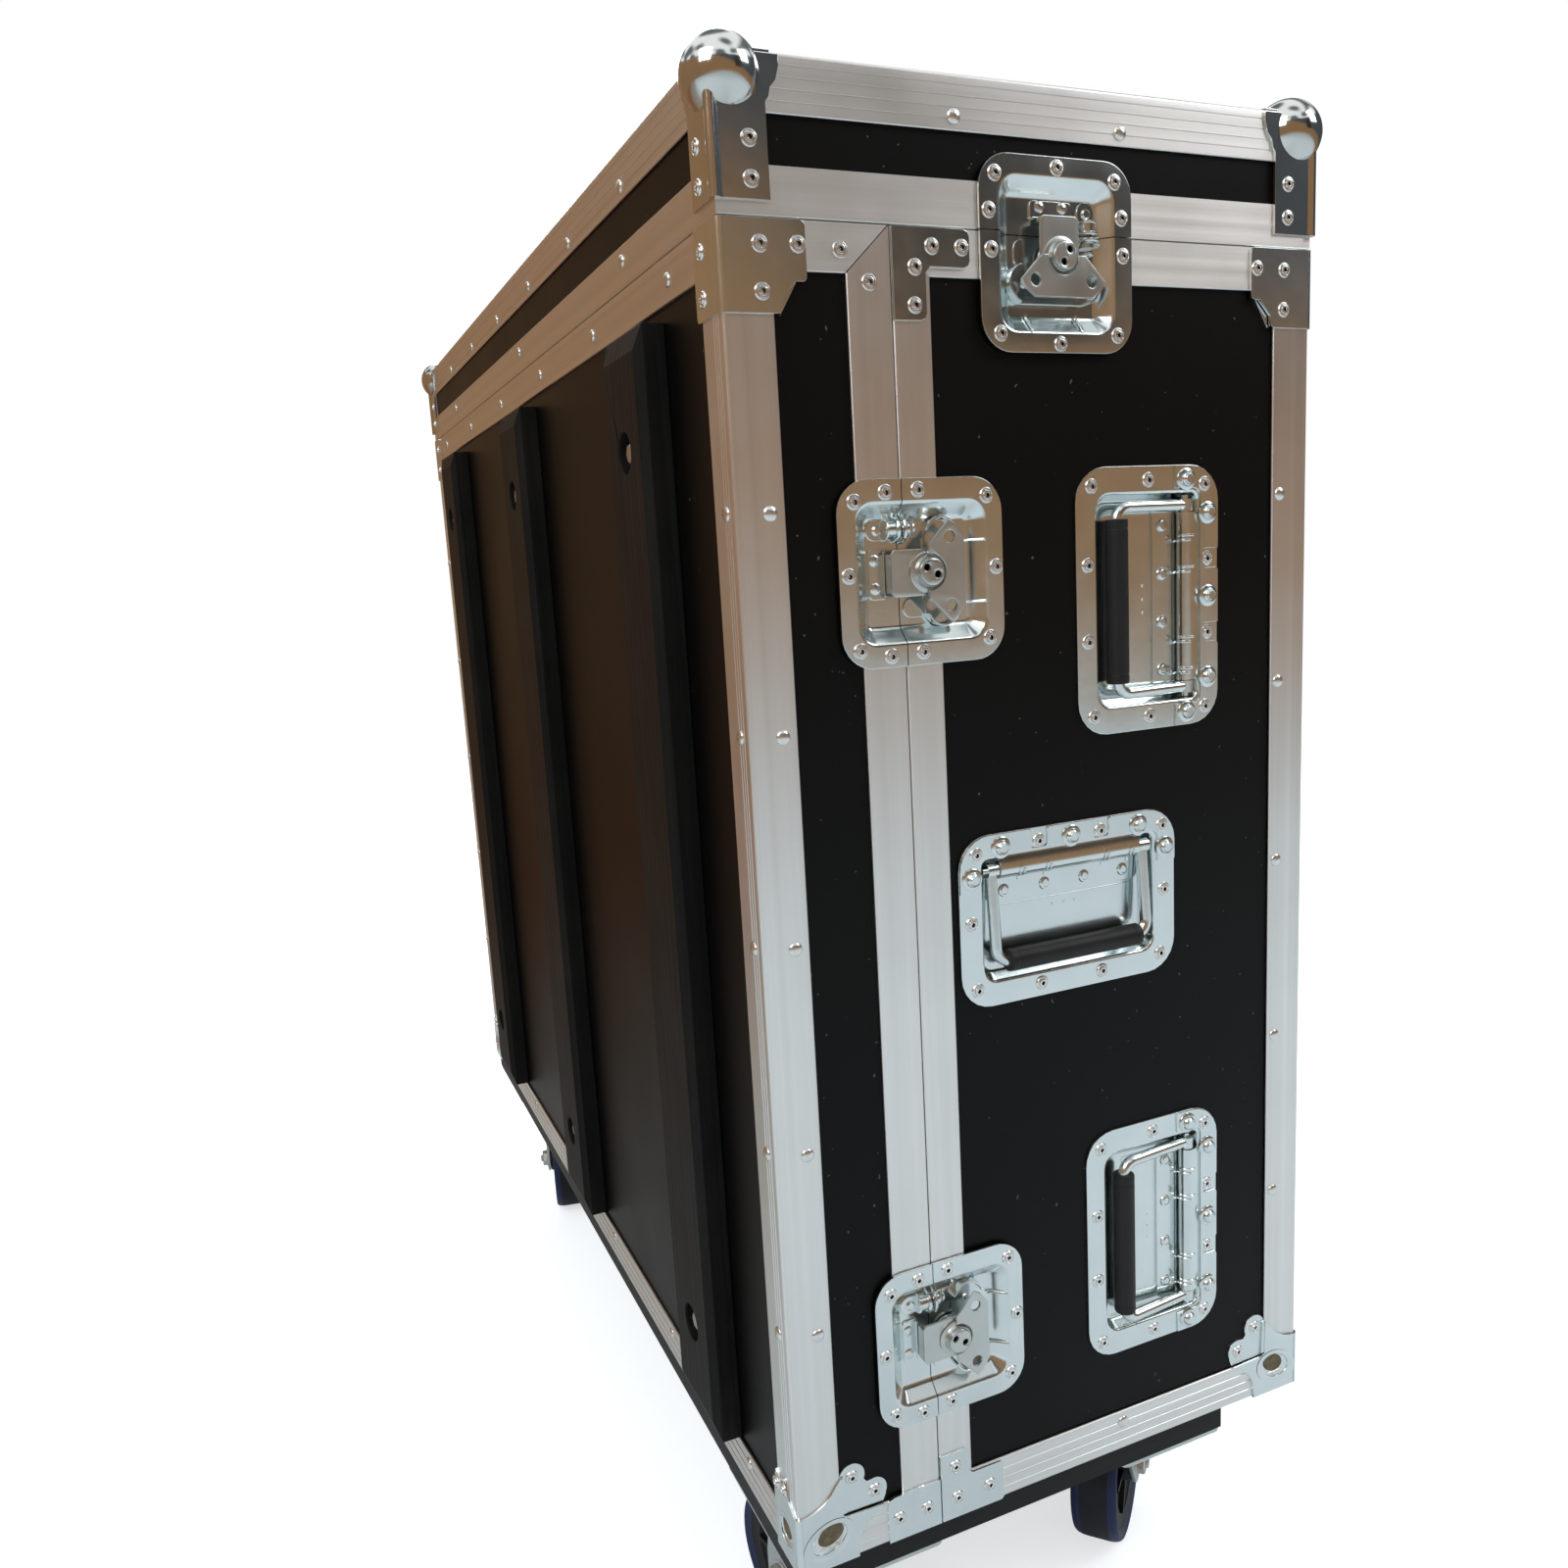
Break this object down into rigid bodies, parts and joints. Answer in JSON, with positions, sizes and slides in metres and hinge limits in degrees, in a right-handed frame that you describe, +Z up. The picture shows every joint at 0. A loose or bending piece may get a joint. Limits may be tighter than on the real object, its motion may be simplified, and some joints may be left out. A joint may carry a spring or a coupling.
{
  "type": "mixer flight case",
  "caption": "Tall wheeled road case for a mixing desk, standing on end, with lift-off lid, slide-off tray on wooden skids, recessed butterfly latches and sprung handles.",
  "frame": {"origin": "on the floor under the middle of the closed case's bounding box", "axes": "+Z up; +X from the tray with its skids towards the deep shell, across the pictured end; +Y from the pictured end to the far end"},
  "size_m": [0.4384, 1.032, 1.0758],
  "materials": {
    "laminate": "plywood with a satin black laminate face",
    "extrusion": "brushed mill aluminium",
    "zinc_steel": "bright zinc plate",
    "rubber_grip": "matt black",
    "tyre": "satin dark blue",
    "timber": "black stain, open grain",
    "foam": "charcoal open-cell foam"
  },
  "bodies": {
    "main": {"main_front_panel": "laminate", "main_back_panel": "laminate", "main_side_panel": "laminate", "main_bottom_panel": "laminate", "main_frame": "extrusion", "castor_board": "laminate", "latch_dish_front_upper": "zinc_steel", "latch_dish_front_lower": "zinc_steel", "latch_dish_front_top": "zinc_steel", "latch_dish_back_upper": "zinc_steel", "latch_dish_back_lower": "zinc_steel", "latch_dish_back_top": "zinc_steel", "handle_dish_front_upper": "zinc_steel", "handle_dish_front_middle": "zinc_steel", "handle_dish_front_lower": "zinc_steel", "handle_dish_back_upper": "zinc_steel", "handle_dish_back_middle": "zinc_steel", "handle_dish_back_lower": "zinc_steel"},
    "tray": {"tray_shell": "laminate", "tray_frame": "extrusion", "skid_front": "timber", "skid_middle": "timber", "skid_back": "timber", "latch_keeper_front_upper": "zinc_steel", "latch_keeper_front_lower": "zinc_steel", "latch_keeper_back_upper": "zinc_steel", "latch_keeper_back_lower": "zinc_steel"},
    "lid": {"lid_shell": "laminate", "lid_frame": "extrusion", "lid_foam": "foam", "latch_keeper_front_top": "zinc_steel", "latch_keeper_back_top": "zinc_steel"},
    "wing_front_upper": {"latch_wing_front_upper": "zinc_steel"},
    "wing_front_lower": {"latch_wing_front_lower": "zinc_steel"},
    "wing_front_top": {"latch_wing_front_top": "zinc_steel"},
    "wing_back_upper": {"latch_wing_back_upper": "zinc_steel"},
    "wing_back_lower": {"latch_wing_back_lower": "zinc_steel"},
    "wing_back_top": {"latch_wing_back_top": "zinc_steel"},
    "hook_front_upper": {"latch_hook_front_upper": "zinc_steel"},
    "hook_front_lower": {"latch_hook_front_lower": "zinc_steel"},
    "hook_front_top": {"latch_hook_front_top": "zinc_steel"},
    "hook_back_upper": {"latch_hook_back_upper": "zinc_steel"},
    "hook_back_lower": {"latch_hook_back_lower": "zinc_steel"},
    "hook_back_top": {"latch_hook_back_top": "zinc_steel"},
    "bail_front_upper": {"handle_bail_front_upper": "rubber_grip"},
    "bail_front_middle": {"handle_bail_front_middle": "rubber_grip"},
    "bail_front_lower": {"handle_bail_front_lower": "rubber_grip"},
    "bail_back_upper": {"handle_bail_back_upper": "rubber_grip"},
    "bail_back_middle": {"handle_bail_back_middle": "rubber_grip"},
    "bail_back_lower": {"handle_bail_back_lower": "rubber_grip"},
    "castor_front_left": {"castor_fork_front_left": "zinc_steel"},
    "castor_front_right": {"castor_fork_front_right": "zinc_steel"},
    "castor_back_left": {"castor_fork_back_left": "zinc_steel"},
    "castor_back_right": {"castor_fork_back_right": "zinc_steel"},
    "wheel_front_left": {"castor_wheel_front_left": "tyre"},
    "wheel_front_right": {"castor_wheel_front_right": "tyre"},
    "wheel_back_left": {"castor_wheel_back_left": "tyre"},
    "wheel_back_right": {"castor_wheel_back_right": "tyre"},
    "pedal_front_left": {"brake_pedal_front_left": "zinc_steel"},
    "pedal_front_right": {"brake_pedal_front_right": "zinc_steel"}
  },
  "joints": [
    {"name": "lid_lift", "type": "slide", "parent": "main", "child": "lid", "axis": [0, 0, 1], "range_m": [0, 0.35]},
    {"name": "tray_pull", "type": "slide", "parent": "main", "child": "tray", "axis": [-1, 0, 0], "range_m": [0, 0.3]},
    {"name": "wing_front_upper_turn", "type": "hinge", "parent": "main", "child": "wing_front_upper", "pos_m": [-0.08585, -0.505, 0.7933], "axis": [0, 1, 0], "range_deg": [0, 180]},
    {"name": "wing_front_lower_turn", "type": "hinge", "parent": "main", "child": "wing_front_lower", "pos_m": [-0.08585, -0.505, 0.3063], "axis": [0, 1, 0], "range_deg": [0, 180]},
    {"name": "wing_front_top_turn", "type": "hinge", "parent": "main", "child": "wing_front_top", "pos_m": [0.01085, -0.505, 0.9694], "axis": [0, 1, 0], "range_deg": [0, 180]},
    {"name": "wing_back_upper_turn", "type": "hinge", "parent": "main", "child": "wing_back_upper", "pos_m": [-0.08585, 0.505, 0.7933], "axis": [0, -1, 0], "range_deg": [0, 180]},
    {"name": "wing_back_lower_turn", "type": "hinge", "parent": "main", "child": "wing_back_lower", "pos_m": [-0.08585, 0.505, 0.3063], "axis": [0, -1, 0], "range_deg": [0, 180]},
    {"name": "wing_back_top_turn", "type": "hinge", "parent": "main", "child": "wing_back_top", "pos_m": [0.01085, 0.505, 0.9694], "axis": [0, -1, 0], "range_deg": [0, 180]},
    {"name": "hook_front_upper_slide", "type": "slide", "parent": "main", "child": "hook_front_upper", "axis": [-1, 0, 0], "range_m": [0, 0.007]},
    {"name": "hook_front_lower_slide", "type": "slide", "parent": "main", "child": "hook_front_lower", "axis": [-1, 0, 0], "range_m": [0, 0.007]},
    {"name": "hook_front_top_slide", "type": "slide", "parent": "main", "child": "hook_front_top", "axis": [0, 0, 1], "range_m": [0, 0.007]},
    {"name": "hook_back_upper_slide", "type": "slide", "parent": "main", "child": "hook_back_upper", "axis": [-1, 0, 0], "range_m": [0, 0.007]},
    {"name": "hook_back_lower_slide", "type": "slide", "parent": "main", "child": "hook_back_lower", "axis": [-1, 0, 0], "range_m": [0, 0.007]},
    {"name": "hook_back_top_slide", "type": "slide", "parent": "main", "child": "hook_back_top", "axis": [0, 0, 1], "range_m": [0, 0.007]},
    {"name": "bail_front_upper_swing", "type": "hinge", "parent": "main", "child": "bail_front_upper", "pos_m": [0.10845, -0.5016, 0.7673], "axis": [0, 0, 1], "range_deg": [0, 84], "stiffness_Nm_per_rad": 0.05, "springref_deg": -11.46},
    {"name": "bail_front_middle_swing", "type": "hinge", "parent": "main", "child": "bail_front_middle", "pos_m": [0.01315, -0.5016, 0.60784], "axis": [-1, 0, 0], "range_deg": [0, 84], "stiffness_Nm_per_rad": 0.05, "springref_deg": -11.46},
    {"name": "bail_front_lower_swing", "type": "hinge", "parent": "main", "child": "bail_front_lower", "pos_m": [0.10845, -0.5016, 0.3323], "axis": [0, 0, 1], "range_deg": [0, 84], "stiffness_Nm_per_rad": 0.05, "springref_deg": -11.46},
    {"name": "bail_back_upper_swing", "type": "hinge", "parent": "main", "child": "bail_back_upper", "pos_m": [0.10845, 0.5016, 0.7673], "axis": [0, 0, -1], "range_deg": [0, 84], "stiffness_Nm_per_rad": 0.05, "springref_deg": -11.46},
    {"name": "bail_back_middle_swing", "type": "hinge", "parent": "main", "child": "bail_back_middle", "pos_m": [0.01315, 0.5016, 0.60784], "axis": [1, 0, 0], "range_deg": [0, 84], "stiffness_Nm_per_rad": 0.05, "springref_deg": -11.46},
    {"name": "bail_back_lower_swing", "type": "hinge", "parent": "main", "child": "bail_back_lower", "pos_m": [0.10845, 0.5016, 0.3323], "axis": [0, 0, -1], "range_deg": [0, 84], "stiffness_Nm_per_rad": 0.05, "springref_deg": -11.46},
    {"name": "castor_front_left_swivel", "type": "hinge", "parent": "main", "child": "castor_front_left", "pos_m": [-0.13775, -0.415, 0.155], "axis": [0, 0, 1], "continuous": true},
    {"name": "castor_front_right_swivel", "type": "hinge", "parent": "main", "child": "castor_front_right", "pos_m": [0.09425, -0.415, 0.155], "axis": [0, 0, 1], "continuous": true},
    {"name": "castor_back_left_swivel", "type": "hinge", "parent": "main", "child": "castor_back_left", "pos_m": [-0.13775, 0.415, 0.155], "axis": [0, 0, 1], "continuous": true},
    {"name": "castor_back_right_swivel", "type": "hinge", "parent": "main", "child": "castor_back_right", "pos_m": [0.09425, 0.415, 0.155], "axis": [0, 0, 1], "continuous": true},
    {"name": "wheel_front_left_spin", "type": "hinge", "parent": "castor_front_left", "child": "wheel_front_left", "pos_m": [-0.14565, -0.37783, 0.0625], "axis": [-0.9781, -0.2079, 0], "continuous": true},
    {"name": "wheel_front_right_spin", "type": "hinge", "parent": "castor_front_right", "child": "wheel_front_right", "pos_m": [0.12249, -0.38957, 0.0625], "axis": [-0.6691, 0.7431, 0], "continuous": true},
    {"name": "wheel_back_left_spin", "type": "hinge", "parent": "castor_back_left", "child": "wheel_back_left", "pos_m": [-0.14565, 0.37783, 0.0625], "axis": [0.9781, -0.2079, 0], "continuous": true},
    {"name": "wheel_back_right_spin", "type": "hinge", "parent": "castor_back_right", "child": "wheel_back_right", "pos_m": [0.06882, 0.38676, 0.0625], "axis": [0.7431, -0.6691, 0], "continuous": true},
    {"name": "pedal_front_left_press", "type": "hinge", "parent": "castor_front_left", "child": "pedal_front_left", "pos_m": [-0.14524, -0.37979, 0.1325], "axis": [-0.9781, -0.2079, 0], "range_deg": [0, 10]},
    {"name": "pedal_front_right_press", "type": "hinge", "parent": "castor_front_right", "child": "pedal_front_right", "pos_m": [0.121, -0.39091, 0.1325], "axis": [-0.6691, 0.7431, 0], "range_deg": [0, 10]}
  ],
  "couplings": [
    {"joint": "hook_front_upper_slide", "follows": "wing_front_upper_turn", "m_per_rad": 0.002228},
    {"joint": "hook_front_lower_slide", "follows": "wing_front_lower_turn", "m_per_rad": 0.002228},
    {"joint": "hook_front_top_slide", "follows": "wing_front_top_turn", "m_per_rad": 0.002228},
    {"joint": "hook_back_upper_slide", "follows": "wing_back_upper_turn", "m_per_rad": 0.002228},
    {"joint": "hook_back_lower_slide", "follows": "wing_back_lower_turn", "m_per_rad": 0.002228},
    {"joint": "hook_back_top_slide", "follows": "wing_back_top_turn", "m_per_rad": 0.002228}
  ]
}
